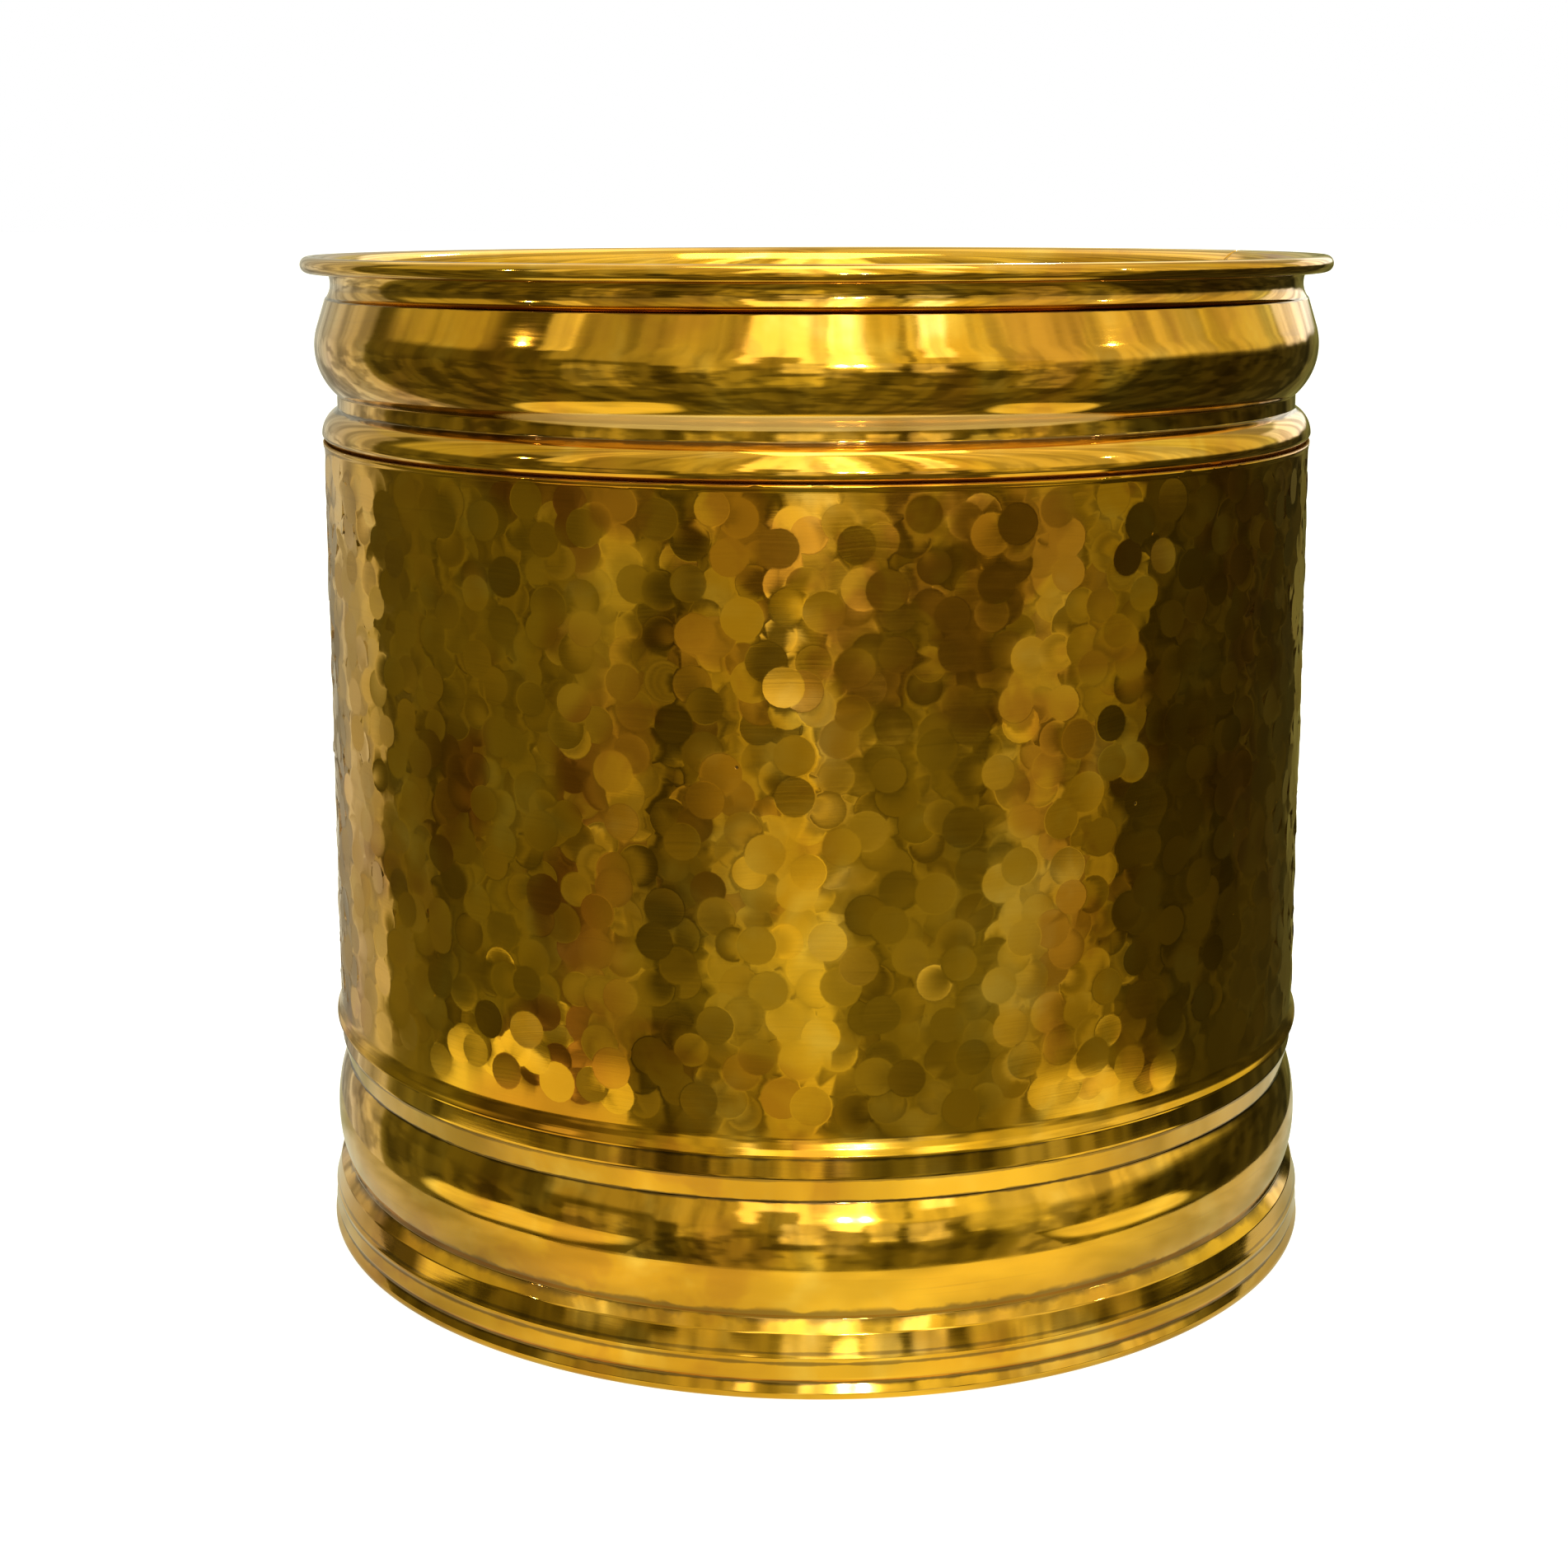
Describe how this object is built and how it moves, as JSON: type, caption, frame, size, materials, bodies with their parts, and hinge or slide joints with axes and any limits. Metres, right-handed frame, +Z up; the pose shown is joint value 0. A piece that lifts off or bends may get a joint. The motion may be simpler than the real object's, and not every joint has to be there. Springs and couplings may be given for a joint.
{
  "type": "planter pot",
  "caption": "Round straight-sided brass planter: a hammered sheet drum between a spun collar with a rolled rim and a spun base with a half-round moulding.",
  "frame": {"origin": "on the pot's axis, on the surface that it stands on", "axes": "+Z up along the pot's axis of revolution; -Y is the front that the picture shows, +X to its right"},
  "size_m": [0.3048, 0.3048, 0.2921],
  "materials": {
    "polished_brass": "spun and hand polished, lacquered, fine circumferential polishing lines",
    "hammered_brass": "planished with a round-faced hammer all over, then polished, slightly tarnished in places",
    "plate_brass": "dull rolled sheet, not polished",
    "braze": "filed brazing spelter",
    "steel_wire": "plain drawn wire",
    "solder": "soft solder, wiped"
  },
  "bodies": {
    "root": {"collar": "polished_brass", "hammered_drum": "hammered_brass", "base_band": "polished_brass", "drum_seam": "braze", "rim_wire": "steel_wire", "foot_wire": "steel_wire", "bottom_plate": "plate_brass", "collar_solder": "solder", "base_solder": "solder", "bottom_solder": "solder"}
  },
  "joints": []
}
